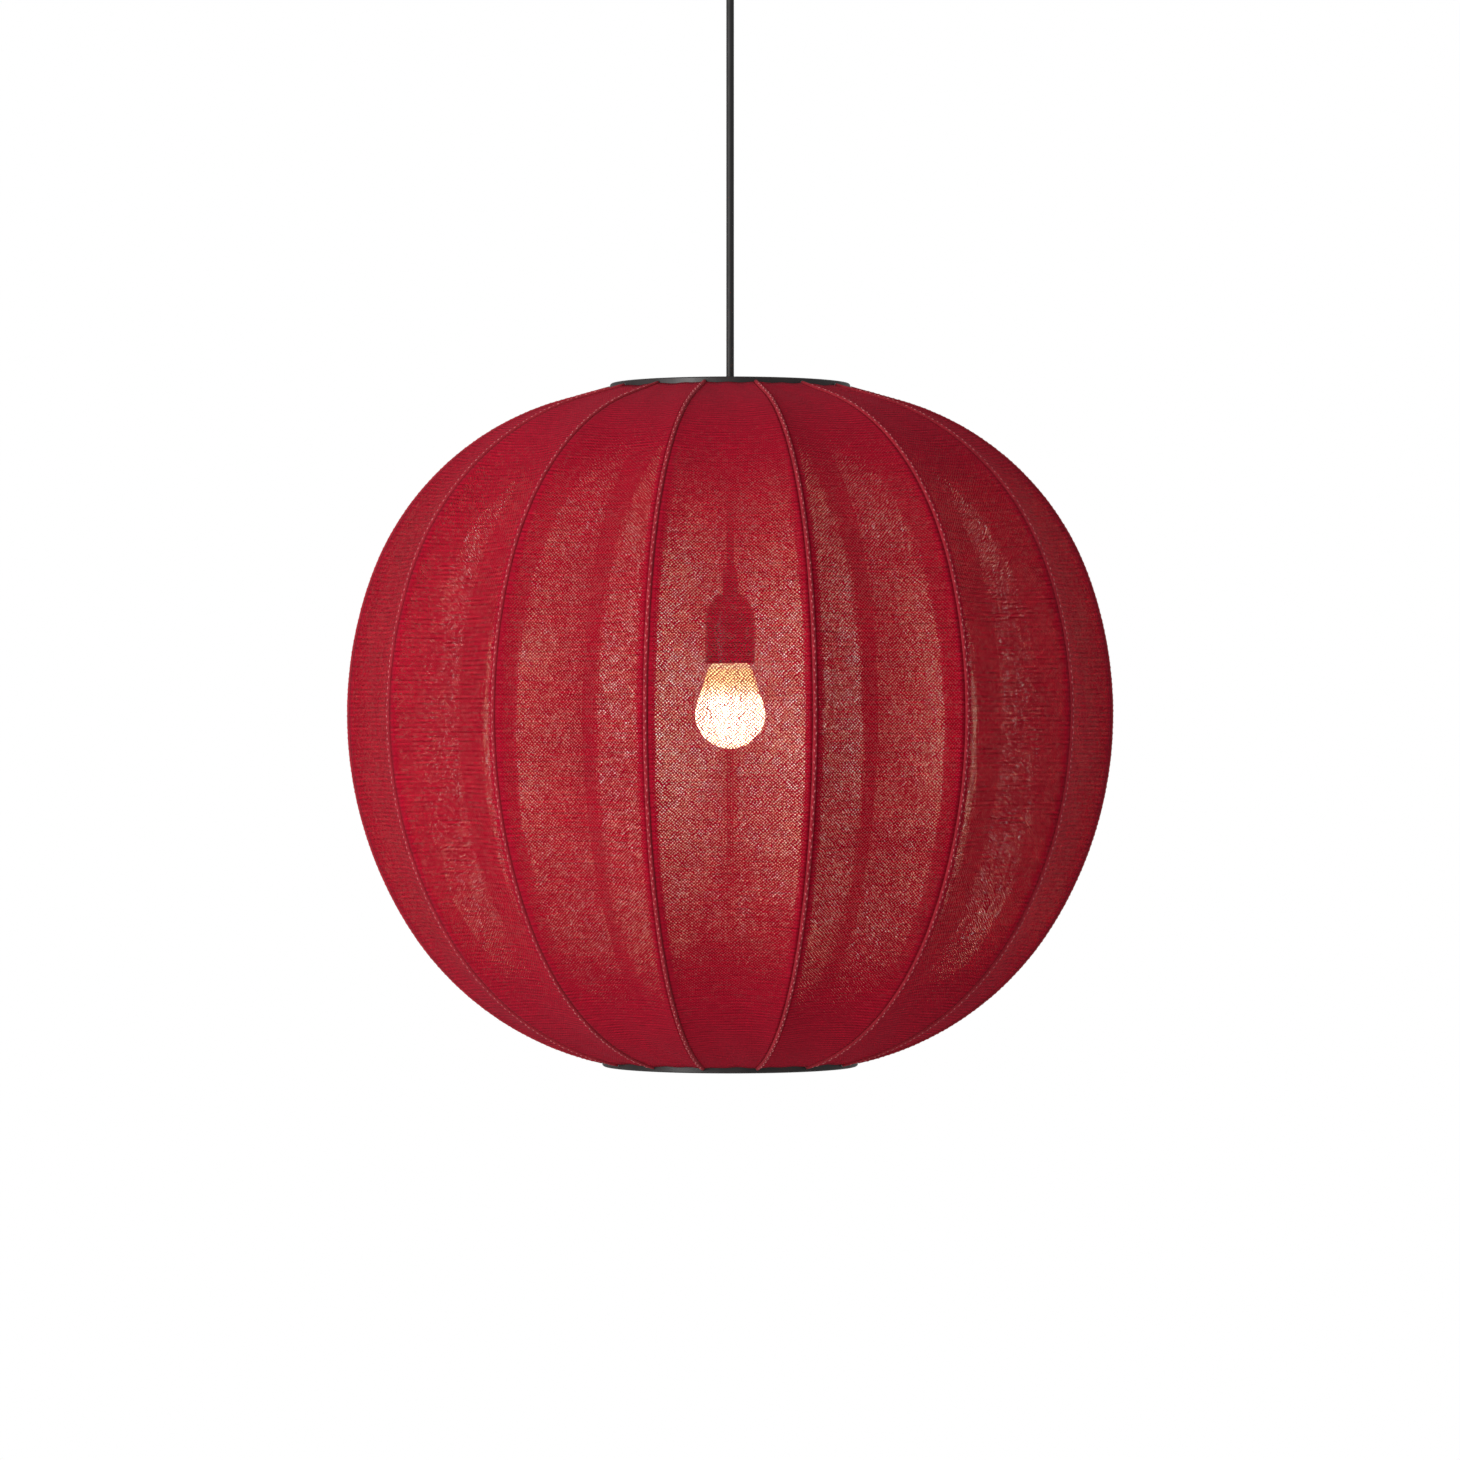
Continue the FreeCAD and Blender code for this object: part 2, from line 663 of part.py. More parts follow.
def holder():
    """The black lampholder: neck, dome and skirt, with the insert, screw shell and contact inside."""
    bore = cord_radius + 2 * cord_clearance
    spigot_low = dome_top - neck_spigot_length
    neck_top = -holder_neck_top
    neck_radius = neck_diameter / 2
    save("holder_neck", turned(
        [
            (bore, spigot_low),
            (neck_spigot / 2, spigot_low),
            (neck_spigot / 2, dome_top),
            (neck_radius, dome_top),
            (neck_radius, neck_top - 1),
            (neck_radius - 1, neck_top),
            (bore, neck_top),
        ]
    ))
    hole = neck_spigot / 2 + screw_clearance
    inner_top = math.sqrt((dome_arc - holder_wall) ** 2 - (hole - dome_centre) ** 2)
    outer_top = dome_point(0, dome_height)
    outer_middle = dome_point(0, dome_height * 0.55)
    inner_middle = dome_point(holder_wall, dome_height * 0.5)
    save("holder_dome", turned(
        [
            (hole, dome_foot + inner_top),
            (hole, dome_top),
            outer_top,
            (holder_radius, dome_foot, outer_middle[0], outer_middle[1]),
            (holder_radius - holder_wall, dome_foot),
            (hole, dome_foot + inner_top, inner_middle[0], inner_middle[1]),
        ]
    ))
    save("holder_skirt", tube(holder_diameter, holder_diameter - 2 * holder_wall, skirt_low, dome_foot))
    plate_radius = holder_radius - holder_wall - insert_clearance
    plate_top = dome_foot + insert_step
    plate_edge = min(plate_radius, dome_point(holder_wall + insert_clearance, insert_step)[0])
    save("holder_insert", turned(
        [
            (0, insert_low),
            (plate_radius, insert_low),
            (plate_radius, dome_foot),
            (plate_edge, plate_top),
            (insert_boss / 2, plate_top),
            (insert_boss / 2 - 1, plate_top + insert_boss_height),
            (0, plate_top + insert_boss_height),
        ]
    ))
    save(
        "holder_screw_shell",
        tube(shell_bore + 2 * shell_wall, shell_bore, insert_low - shell_length, insert_low),
    )
    tongue_size = Vector(contact_length, contact_width, contact_thick)
    tongue = block(tongue_size, 0, 0, insert_low - contact_thick)
    bump_low = insert_low - contact_thick - contact_bump_height
    bump = turned(
        [
            (0, bump_low),
            (contact_bump / 2 - 1, bump_low),
            (contact_bump / 2, bump_low + contact_bump_height),
            (contact_bump / 2, insert_low - contact_thick / 2),
            (0, insert_low - contact_thick / 2),
        ]
    )
    save("holder_contact", tongue.fuse(bump).removeSplitter())


# ---- bulb --------------------------------------------------------------------------------------
tip_top = insert_low - contact_thick - contact_bump_height - bulb_gap
tip_low = tip_top - tip_thick
cap_low = tip_low - cap_length
globe_top = cap_low - collar_height
bulb_bottom = globe_top - bulb_length
bulb_centre = bulb_bottom + bulb_diameter / 2


def tangent_point(radius, neck_radius):
    """Where the straight side from the globe's neck meets its round part."""
    dr, dz = neck_radius, globe_top - bulb_centre
    far = math.hypot(dr, dz)
    angle = math.atan2(dz, dr) - math.acos(radius / far)
    return (radius * math.cos(angle), bulb_centre + radius * math.sin(angle))


def globe_outline(radius, neck_radius):
    """The opal globe's side and round end, from its neck to its lowest point."""
    start = tangent_point(radius, neck_radius)
    half = (math.atan2(start[1] - bulb_centre, start[0]) - math.pi / 2) / 2
    middle = (radius * math.cos(half), bulb_centre + radius * math.sin(half))
    return start, middle, (0, bulb_centre - radius)


def bulb():
    """A screw-in bulb: tip, cap, collar, opal globe and the board that lights it."""
    tip_radius, stem_radius = tip_diameter / 2, tip_stem / 2
    save("bulb_tip", turned(
        [
            (0, tip_low - tip_stem_length),
            (stem_radius, tip_low - tip_stem_length),
            (stem_radius, tip_low),
            (tip_radius, tip_low),
            (tip_radius, tip_top - 0.6),
            (tip_radius - 0.8, tip_top),
            (0, tip_top),
        ]
    ))
    cap_radius = cap_diameter / 2
    cap_top = tip_low - turning_gap
    save("bulb_cap", turned(
        [
            (stem_radius + pin_gap, cap_top),
            (cap_neck / 2, cap_top),
            (cap_radius, cap_top - cap_cone),
            (cap_radius, cap_low),
            (cap_radius - cap_wall, cap_low),
            (cap_radius - cap_wall, cap_top - cap_cone - 1),
            (cap_neck / 2, cap_top - 2.5),
            (stem_radius + pin_gap, cap_top - 2.5),
        ]
    ))
    board_radius, inner_radius = board_diameter / 2, cap_radius - 3
    neck_radius = globe_neck / 2
    board_top = globe_top + board_thick
    save("bulb_collar", turned(
        [
            (inner_radius, cap_low),
            (collar_diameter / 2, cap_low),
            (neck_radius, globe_top + 0.8),
            (neck_radius, globe_top),
            (board_radius + 0.1, globe_top),
            (board_radius + 0.1, board_top),
            (inner_radius, board_top),
        ]
    ))
    save("bulb_board", tube(board_diameter, 0, globe_top, board_top))
    outer = globe_outline(bulb_diameter / 2, neck_radius)
    inner = globe_outline(bulb_diameter / 2 - opal_wall, neck_radius - opal_wall)
    save("bulb_globe", turned(
        [
            (neck_radius - opal_wall, globe_top),
            (neck_radius, globe_top),
            outer[0],
            (outer[2][0], outer[2][1], outer[1][0], outer[1][1]),
            (inner[2][0], inner[2][1]),
            (inner[0][0], inner[0][1], inner[1][0], inner[1][1]),
        ]
    ))
    print(f"bulb from {cap_low:.1f} to {bulb_bottom:.1f}, skirt ends {skirt_low:.1f}")


os.makedirs("parts", exist_ok=True)
bracket()
clamp()
rose()
cord()
cord_grip()
save("top_spider", spider())
save("spider_screws", *[around(arm_screw(), arm_angle(i)) for i in range(arm_count)])
shade()
holder()
bulb()
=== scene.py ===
# A pendant globe lamp: knitted gores stretched over fifteen bowed ribs, around a lit opal bulb.
# Metres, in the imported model's frame: the origin is on the ceiling and the front is -Y.
import json
import math

import bpy
import numpy as np
from mathutils import Matrix, Vector


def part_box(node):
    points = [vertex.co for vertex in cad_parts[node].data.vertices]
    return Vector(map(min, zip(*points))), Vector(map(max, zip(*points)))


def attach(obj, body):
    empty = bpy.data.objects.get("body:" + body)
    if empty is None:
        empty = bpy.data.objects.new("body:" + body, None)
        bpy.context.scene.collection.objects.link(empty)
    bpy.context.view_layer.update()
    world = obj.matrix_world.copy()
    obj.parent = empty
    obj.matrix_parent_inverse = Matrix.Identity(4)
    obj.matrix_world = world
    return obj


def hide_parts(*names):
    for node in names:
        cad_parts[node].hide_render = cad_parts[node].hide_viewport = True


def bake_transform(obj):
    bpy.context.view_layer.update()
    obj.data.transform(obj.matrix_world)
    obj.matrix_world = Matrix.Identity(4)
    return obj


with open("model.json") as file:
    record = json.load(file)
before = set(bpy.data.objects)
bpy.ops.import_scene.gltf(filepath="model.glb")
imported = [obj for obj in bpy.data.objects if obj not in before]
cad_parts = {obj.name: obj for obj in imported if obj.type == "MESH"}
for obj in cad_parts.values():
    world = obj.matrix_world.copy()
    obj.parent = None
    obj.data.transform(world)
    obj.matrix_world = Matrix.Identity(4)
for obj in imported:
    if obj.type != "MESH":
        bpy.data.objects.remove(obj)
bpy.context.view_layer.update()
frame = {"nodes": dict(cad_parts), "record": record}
nodes = frame["nodes"]

# ---- sizes shared with the CAD -----------------------------------------------------------------
RIB_COUNT = 15
STEP = math.radians(360 / RIB_COUNT)
EQUATOR = -0.650
RIB_RADIUS = 0.2977  # the wire's centreline at the widest level
RING_TUCK = 0.00325 + 0.00045  # half a ring's height, and how far before its middle a rib ends
TOP_RING = {"outside": 0.094, "rise": 0.2583 - RING_TUCK}
BOTTOM_RING = {"outside": 0.100, "rise": 0.275 - RING_TUCK}
SADDLE = 0.007  # how far a gore sinks behind its ribs at the widest level
SIDE_OFFSET = 0.0019  # from a rib's plane to the gore's folded edge
CORD_RADIUS = 0.003
CORD_TOP = -0.0235
FIRST_BEND = -0.118
SECOND_BEND = -0.150
GRIP_MIDDLE = -0.409
HOLDER_BEND = -0.42075
CORD_END = -0.5612
BULB_CENTRE = -0.6498
BULB_RADIUS = 0.0273

# ---- sizes of the cloth ------------------------------------------------------------------------
CLOTH = 0.0012  # thickness
HEM_CLOTH = 0.0008
HEM_LEAN = -0.0014  # a hem's free edge leans towards its rib, where its neighbour's edge is
SLEEVE_RADIUS = 0.00165
WALE = 0.0026  # one stitch's width
COURSE = 0.0013  # one stitch's height
YARN_DRIFT = 0.0030  # how far the stitches wander, over waves of DRIFT_SCALE per metre
DRIFT_SCALE = 160.0
STITCH_JITTER = 0.08  # of a stitch
HOLE_WIDTH = 0.00128
HOLE_HEIGHT = 0.00118
PATCH_WIDTH = 0.0021
PATCH_HEIGHT = 0.0018
LINE_PITCH = 0.0036  # of the fine lines across the knit
STITCH_STEP = 0.0042
ACROSS_STEPS = 26
HEM_STEPS = 5
ROW_LENGTH = 0.0095


# ---- node helper -------------------------------------------------------------------------------
class Graph:
    """Builds the nodes of one material. A value may be a number, a colour or another socket."""

    def __init__(self, name):
        self.material = bpy.data.materials.new(name)
        self.material.use_nodes = True
        self.tree = self.material.node_tree
        self.tree.nodes.clear()
        self.output = self.tree.nodes.new("ShaderNodeOutputMaterial")

    def put(self, socket, value):
        if isinstance(value, bpy.types.NodeSocket):
            self.tree.links.new(value, socket)
        elif hasattr(value, "__len__") and len(value) == 3 and socket.type == "RGBA":
            socket.default_value = (*value, 1.0)
        else:
            socket.default_value = value

    def node(self, kind, values=None, **settings):
        node = self.tree.nodes.new("ShaderNode" + kind)
        for key, value in settings.items():
            setattr(node, key, value)
        for key, value in (values or {}).items():
            self.put(node.inputs[key], value)
        return node

    def math(self, operation, *values):
        node = self.node("Math", operation=operation)
        for socket, value in zip(node.inputs, values):
            self.put(socket, value)
        return node.outputs[0]

    def spread(self, value, low, high, to_low=0.0, to_high=1.0):
        """value mapped from low..high onto to_low..to_high, and clamped there."""
        node = self.node("MapRange")
        for socket, number in zip(node.inputs, (value, low, high, to_low, to_high)):
            self.put(socket, number)
        return node.outputs[0]

    def mix(self, share, a, b, blend="MIX"):
        node = self.node("Mix", data_type="RGBA", blend_type=blend)
        for index, value in ((0, share), (6, a), (7, b)):
            self.put(node.inputs[index], value)
        return node.outputs[2]

    def noise(self, vector, scale, detail=2.0, roughness=0.5):
        values = {"Vector": vector, "Scale": scale, "Detail": detail, "Roughness": roughness}
        return self.node("TexNoise", values).outputs[0]

    def place(self):
        """The point on the object at rest, in metres."""
        return self.node("TexCoord").outputs["Object"]

    def bump(self, height, strength, distance):
        values = {"Height": height, "Strength": strength, "Distance": distance}
        return self.node("Bump", values).outputs[0]

    def principled(self, values):
        return self.node("BsdfPrincipled", values).outputs[0]

    def finish(self, shader):
        self.tree.links.new(shader, self.output.inputs["Surface"])
        return self.material


# ---- materials of the hard parts ---------------------------------------------------------------
def painted_metal(name, colour, roughness, grain=900.0):
    """Satin powder coat: a fine orange-peel grain and a little unevenness in its gloss."""
    g = Graph(name)
    place = g.place()
    patches = g.noise(place, 60.0, 3.0)
    tone = g.mix(g.spread(patches, 0.35, 0.65), colour, [c * 1.5 + 0.004 for c in colour])
    return g.finish(
        g.principled(
            {
                "Base Color": tone,
                "Roughness": g.spread(patches, 0.3, 0.7, roughness - 0.06, roughness + 0.08),
                "Normal": g.bump(g.noise(place, grain, 2.0), 0.25, 0.0002),
            }
        )
    )


def metal(name, colour, roughness, stretch=(1, 1, 12)):
    """Bare metal with fine drawn lines along the short sides of stretch."""
    g = Graph(name)
    mapping = g.node("Mapping", {"Vector": g.place(), "Scale": stretch}).outputs[0]
    lines = g.noise(mapping, 700.0, 3.0)
    cloud = g.noise(g.place(), 90.0, 2.0)
    return g.finish(
        g.principled(
            {
                "Base Color": g.mix(g.spread(cloud, 0.3, 0.7), colour, [c * 0.82 for c in colour]),
                "Metallic": 1.0,
                "Roughness": g.spread(lines, 0.3, 0.7, roughness - 0.08, roughness + 0.1),
                "Normal": g.bump(lines, 0.15, 0.0001),
            }
        )
    )


def plastic(name, colour, roughness, grain=1400.0, depth=0.12):
    """Moulded plastic with a faint texture and a little unevenness in its colour."""
    g = Graph(name)
    place = g.place()
    cloud = g.noise(place, 45.0, 2.0)
    return g.finish(
        g.principled(
            {
                "Base Color": g.mix(g.spread(cloud, 0.3, 0.7), colour, [c * 0.88 for c in colour]),
                "Roughness": g.spread(cloud, 0.3, 0.7, roughness - 0.03, roughness + 0.05),
                "Normal": g.bump(g.noise(place, grain, 2.0), depth, 0.0001),
            }
        )
    )


def lit_plastic(name, colour, roughness):
    """Thin pale plastic that the light behind it shines through."""
    g = Graph(name)
    cloud = g.noise(g.place(), 45.0, 2.0)
    return g.finish(
        g.principled(
            {
                "Base Color": g.mix(g.spread(cloud, 0.3, 0.7), colour, [c * 0.9 for c in colour]),
                "Roughness": roughness,
                "Emission Color": (1.0, 0.78, 0.40),
                "Emission Strength": g.spread(cloud, 0.3, 0.7, 1.3, 1.6),
            }
        )
    )


def rubber_cord(name):
    """Black cord sheath: matt, with faint lengthwise drawing marks."""
    g = Graph(name)
    mapping = g.node("Mapping", {"Vector": g.place(), "Scale": (14, 14, 1)}).outputs[0]
    marks = g.noise(mapping, 90.0, 3.0)
    return g.finish(
        g.principled(
            {
                "Base Color": g.mix(g.spread(marks, 0.3, 0.7), [0.010] * 3, [0.018] * 3),
                "Roughness": g.spread(marks, 0.3, 0.7, 0.48, 0.62),
                "Normal": g.bump(marks, 0.2, 0.0002),
            }
        )
    )


def opal_glass(name, neck_level, centre_level, radius):
    """A lit opal globe: warm and weaker at its neck, and white around the light source."""
    g = Graph(name)
    height = g.node("SeparateXYZ", {"Vector": g.place()}).outputs[2]
    lit = g.spread(height, neck_level - 0.008, centre_level + 0.010)
    end = g.spread(height, centre_level - radius, centre_level - 0.55 * radius, 0.45, 1.0)
    strength = g.math("MULTIPLY", g.spread(g.math("POWER", lit, 2.0), 0.0, 1.0, 1.9, 8.5), end)
    haze = g.noise(g.place(), 220.0, 2.0)
    glow = g.mix(lit, (1.0, 0.86, 0.45), (1.0, 0.97, 0.92))
    return g.finish(
        g.principled(
            {
                "Base Color": g.mix(haze, (0.93, 0.90, 0.84), (0.97, 0.95, 0.90)),
                "Roughness": 0.35,
                "Emission Color": glow,
                "Emission Strength": strength,
                "Coat Weight": 1.0,
                "Coat Roughness": 0.3,
                "Coat Tint": (1.0, 0.88, 0.66, 1.0),
            }
        )
    )


# ---- knit --------------------------------------------------------------------------------------
CRIMSON = (0.50, 0.0070, 0.031)
INSIDE_TONE = (0.82, 0.48, 0.42)
PAINTED_HIGHLIGHT_TONE = (0.66, 0.24, 0.22)  # painted highlight: a pale tone painted on some patches of the knit, standing in for light caught by its fuzz and seen through its holes
PAINTED_HIGHLIGHT_SHARE = 0.14  # how much of that painted highlight a patch takes
PATCH_FROM, PATCH_FULL = 0.86, 0.90  # the patches whose random number is above these get the painted highlight and wider holes
LOOSE_SIZE = 1.18  # how much wider the holes are in those same patches


def knit_cells(g):
    """The stitch grid: each cell's random number, and the squared distance from its hole's middle.

    u runs across the gore along its courses and v along the rib, both in metres."""
    flat = g.node("TexCoord").outputs["UV"]
    uv = g.node("SeparateXYZ", {"Vector": flat})
    drift = g.node("TexNoise", {"Vector": flat, "Scale": DRIFT_SCALE, "Detail": 2.0}).outputs[1]
    drift = g.node("VectorMath", {0: drift, 1: (0.5, 0.5, 0.5)}, operation="SUBTRACT").outputs[0]
    drift = g.node("VectorMath", {0: drift, "Scale": YARN_DRIFT}, operation="SCALE").outputs[0]
    uneven = g.node("VectorMath", {0: flat, 1: drift}, operation="ADD").outputs[0]
    uneven = g.node("SeparateXYZ", {"Vector": uneven})
    row_place = g.math("DIVIDE", uneven.outputs[1], COURSE)
    row = g.math("FLOOR", row_place)
    shift = g.math("MULTIPLY", g.math("MODULO", row, 2.0), 0.5)
    cell_place = g.math("ADD", g.math("DIVIDE", uneven.outputs[0], WALE), shift)
    column = g.math("FLOOR", cell_place)
    cell = g.node("CombineXYZ", {"X": column, "Y": row}).outputs[0]
    random = g.node("TexWhiteNoise", {"Vector": cell}, noise_dimensions="2D")
    jitter = g.node("SeparateColor", {"Color": random.outputs["Color"]})
    across = g.math("SUBTRACT", g.math("FRACT", cell_place), 0.5)
    along = g.math("SUBTRACT", g.math("FRACT", row_place), 0.5)
    across = g.math("ADD", across, g.spread(jitter.outputs[0], 0, 1, -STITCH_JITTER, STITCH_JITTER))
    along = g.math("ADD", along, g.spread(jitter.outputs[1], 0, 1, -STITCH_JITTER, STITCH_JITTER))
    across = g.math("DIVIDE", across, HOLE_WIDTH / 2 / WALE)
    along = g.math("DIVIDE", along, HOLE_HEIGHT / 2 / COURSE)
    distance = g.math("ADD", g.math("MULTIPLY", across, across), g.math("MULTIPLY", along, along))
    return uv, random.outputs["Value"], distance


def knit_holes(g, uv, random, distance):
    """1 where the net is open. Holes shrink towards the rings and vary from stitch to stitch."""
    openness = g.node("Attribute", attribute_name="open").outputs["Fac"]
    mottle = g.spread(g.noise(g.place(), 38.0, 3.0, 0.6), 0.32, 0.68, 0.88, 1.06)
    size = g.math("MULTIPLY", g.spread(random, 0, 1, 0.80, 1.12), mottle)
    slack = g.spread(highlight_and_loose_patches(g, uv), PATCH_FROM, PATCH_FULL, 1.0, LOOSE_SIZE)
    size = g.math("MULTIPLY", g.math("MULTIPLY", size, slack), openness)
    return g.math("LESS_THAN", distance, g.math("MULTIPLY", size, size))


def highlight_and_loose_patches(g, uv):
    """Each small patch of yarn's own random number, from 0 to 1: it places the painted highlights and
    the wider holes.
    """
    across = g.math("FLOOR", g.math("DIVIDE", uv.outputs[0], PATCH_WIDTH))
    along = g.math("FLOOR", g.math("DIVIDE", uv.outputs[1], PATCH_HEIGHT))
    patch = g.node("CombineXYZ", {"X": across, "Y": along}).outputs[0]
    return g.node("TexWhiteNoise", {"Vector": patch}, noise_dimensions="2D").outputs["Value"]


def knit_tone(g, uv, colour, random):
    """The yarn's colour with its courses showing as fine lines across the gore, and a painted
    highlight on a few patches where the net is open.
    """
    wave = g.math("MULTIPLY", uv.outputs[1], 2 * math.pi / LINE_PITCH)
    stretched = g.node("Mapping", {"Vector": g.place(), "Scale": (1, 1, 9)}).outputs[0]
    streaks = g.noise(stretched, 55.0, 3.0, 0.6)
    line = g.math("MULTIPLY", g.math("SINE", wave), g.spread(streaks, 0.40, 0.62))
    shade = g.math("ADD", g.spread(line, -1, 1, 0.60, 1.40), g.spread(random, 0, 1, -0.08, 0.08))
    cloud = g.noise(g.place(), 9.0, 3.0)
    shade = g.math("MULTIPLY", shade, g.spread(cloud, 0.3, 0.7, 0.94, 1.07))
    grey = g.node("CombineColor", {0: shade, 1: shade, 2: shade}).outputs[0]
    tone = g.mix(1.0, colour, grey, "MULTIPLY")
    openness = g.node("Attribute", attribute_name="open").outputs["Fac"]
    # painted highlight: a pale tone mixed into the yarn's colour on a few patches, only where the net
    # is open
    painted_highlight = g.spread(highlight_and_loose_patches(g, uv), PATCH_FROM, PATCH_FULL, 0.0, PAINTED_HIGHLIGHT_SHARE)
    return g.mix(g.math("MULTIPLY", painted_highlight, openness), tone, PAINTED_HIGHLIGHT_TONE)


def knit(name, colour, open_net, translucency=0.25, sheen=0.06, lining=None, gloss=0.0):
    """The knit. A lining colour shows on the side that faces into the shade, and gloss is how
    much of a warm satin shine it has."""
    g = Graph(name)
    uv, random, distance = knit_cells(g)
    if lining:
        colour = g.mix(g.node("NewGeometry").outputs["Backfacing"], lining, colour)
    tone = knit_tone(g, uv, colour, random)
    height = g.math("MINIMUM", distance, 1.4)
    normal = g.bump(height, 0.5, 0.0004)
    cloth = g.principled(
        {
            "Base Color": tone,
            "Roughness": 0.88,
            "Specular IOR Level": 0.05,
            "Sheen Weight": sheen,
            "Sheen Roughness": 0.5,
            "Sheen Tint": (1.0, 0.50, 0.60, 1.0),
            "Normal": normal,
        }
    )
    through = g.node("BsdfTranslucent", {"Color": tone, "Normal": normal}).outputs[0]
    cloth = g.node("MixShader", {0: translucency, 1: cloth, 2: through}).outputs[0]
    if gloss:
        values = {"Color": (1.0, 0.80, 0.60), "Roughness": 0.55}
        satin = g.node("BsdfAnisotropic", values).outputs[0]
        cloth = g.node("MixShader", {0: gloss, 1: cloth, 2: satin}).outputs[0]
    if open_net:
        clear = g.node("BsdfTransparent").outputs[0]
        holes = knit_holes(g, uv, random, distance)
        cloth = g.node("MixShader", {0: holes, 1: cloth, 2: clear}).outputs[0]
    return g.finish(cloth)


def sleeve_knit(name, colour):
    """The tight tube of knit over a rib: small ribs across it and a lighter tone."""
    g = Graph(name)
    place = g.place()
    fine = g.noise(place, 700.0, 2.0)
    patches = g.noise(place, 60.0, 3.0)
    tone = g.mix(g.spread(patches, 0.35, 0.65), colour, [c * 1.25 for c in colour])
    fuzz = [min(1, c * 1.3 + 0.05) for c in colour]
    tone = g.mix(g.spread(fine, 0.45, 0.75, 0.0, 0.4), tone, fuzz)
    return g.finish(
        g.principled(
            {
                "Base Color": tone,
                "Roughness": 0.8,
                "Sheen Weight": 0.03,
                "Sheen Roughness": 0.5,
                "Specular IOR Level": 0.15,
                "Normal": g.bump(fine, 0.4, 0.0003),
            }
        )
    )


knit_outside = knit("knit_outside", CRIMSON, True)
knit_inside = knit("knit_inside", CRIMSON, True, 0.2, lining=INSIDE_TONE, gloss=0.25)
knit_hem = knit("knit_hem", (0.46, 0.030, 0.045), False, 0.05, sheen=0.4)
sleeve = sleeve_knit("knit_sleeve", (0.32, 0.011, 0.024))
thread = sleeve_knit("stitch_thread", (0.66, 0.18, 0.19))

materials = {
    "bracket_steel": metal("bracket_zinc", (0.60, 0.61, 0.62), 0.38, (1, 14, 1)),
    "clamp_plastic": plastic("clamp_nylon", (0.80, 0.79, 0.76), 0.45),
    "screw_steel": metal("screw_zinc", (0.62, 0.62, 0.62), 0.3, (6, 6, 1)),
    "terminal_plastic": plastic("terminal_white", (0.82, 0.82, 0.80), 0.4),
    "lead_insulation": plastic("lead_brown", (0.16, 0.06, 0.025), 0.42),
    "rose_enamel": painted_metal("rose_black", (0.014, 0.014, 0.014), 0.42),
    "black_plastic": plastic("gland_black", (0.014, 0.014, 0.014), 0.4),
    "grip_metal": painted_metal("grip_black", (0.018, 0.018, 0.018), 0.4),
    "spider_steel": painted_metal("spider_black", (0.018, 0.017, 0.017), 0.45),
    "ring_enamel": painted_metal("ring_black", (0.016, 0.013, 0.013), 0.42),
    "rib_steel": metal("rib_spring_steel", (0.50, 0.50, 0.51), 0.35),
    "holder_plastic": plastic("holder_gloss_black", (0.008, 0.008, 0.008), 0.16, 700.0, 0.03),
    "insert_ceramic": plastic("insert_white", (0.80, 0.78, 0.74), 0.5),
    "shell_brass": metal("shell_brass", (0.72, 0.53, 0.25), 0.3),
    "cap_aluminium": metal("cap_aluminium", (0.72, 0.72, 0.73), 0.3),
    "collar_plastic": lit_plastic("collar_cream", (0.83, 0.80, 0.74), 0.42),
    "board": plastic("board_white", (0.82, 0.82, 0.82), 0.35),
    "opal_globe": opal_glass("opal_lit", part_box("bulb_globe")[1][2], BULB_CENTRE, BULB_RADIUS),
}
cord_sheath = rubber_cord("cord_black")

for part in frame["record"]["subparts"]:
    material = materials.get(part["material_slot"])
    node = nodes[part["node"]]
    if material is None:
        continue
    if not node.material_slots:
        node.data.materials.append(material)
    for slot in node.material_slots:
        slot.material = material


# ---- cord --------------------------------------------------------------------------------------
def evaluated_mesh(source):
    """A new mesh of an object's shape as it stands."""
    bpy.context.view_layer.update()
    graph = bpy.context.evaluated_depsgraph_get()
    return bpy.data.meshes.new_from_object(source.evaluated_get(graph))


def to_mesh_object(name, source, material):
    """A smooth mesh object with the shape of another object."""
    mesh = evaluated_mesh(source)
    made = bpy.data.objects.new(name, mesh)
    bpy.context.scene.collection.objects.link(made)
    mesh.materials.clear()
    mesh.materials.append(material)
    for polygon in mesh.polygons:
        polygon.use_smooth = True
    return made


def cord_piece(name, points, replaced):
    """A stretch of the cord along a spline."""
    curve = bpy.data.curves.new(name + "_line", "CURVE")
    curve.dimensions = "3D"
    spline = curve.splines.new("NURBS")
    spline.points.add(len(points) - 1)
    for control, point in zip(spline.points, points):
        control.co = (*point, 1.0)
    spline.order_u = 3
    spline.use_endpoint_u = True
    spline.resolution_u = 40
    source = bpy.data.objects.new(name + "_line", curve)
    bpy.context.scene.collection.objects.link(source)
    bare = evaluated_mesh(source)
    bpy.data.meshes.remove(bare)
    curve.bevel_depth = CORD_RADIUS
    curve.bevel_resolution = 8
    curve.use_fill_caps = True
    piece = to_mesh_object(name, source, cord_sheath)
    bpy.data.objects.remove(source)
    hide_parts(*replaced)
    return piece


LINK_MIDDLE = (FIRST_BEND + SECOND_BEND) / 2
upper_cord = cord_piece(
    "cord_upper",
    [(0, 0, CORD_TOP), (0, 0, FIRST_BEND), (0, 0, LINK_MIDDLE)],
    ["cord_ceiling", "cord_swing_link"],
)
middle_cord = cord_piece(
    "cord_middle",
    [(0, 0, LINK_MIDDLE), (0, 0, SECOND_BEND), (0, 0, GRIP_MIDDLE)],
    ["cord_main"],
)
lower_cord = cord_piece(
    "cord_lower",
    [(0, 0, GRIP_MIDDLE), (0, 0, HOLDER_BEND), (0, 0, CORD_END)],
    ["cord_holder"],
)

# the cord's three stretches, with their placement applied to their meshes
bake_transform(upper_cord)
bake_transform(middle_cord)
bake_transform(lower_cord)


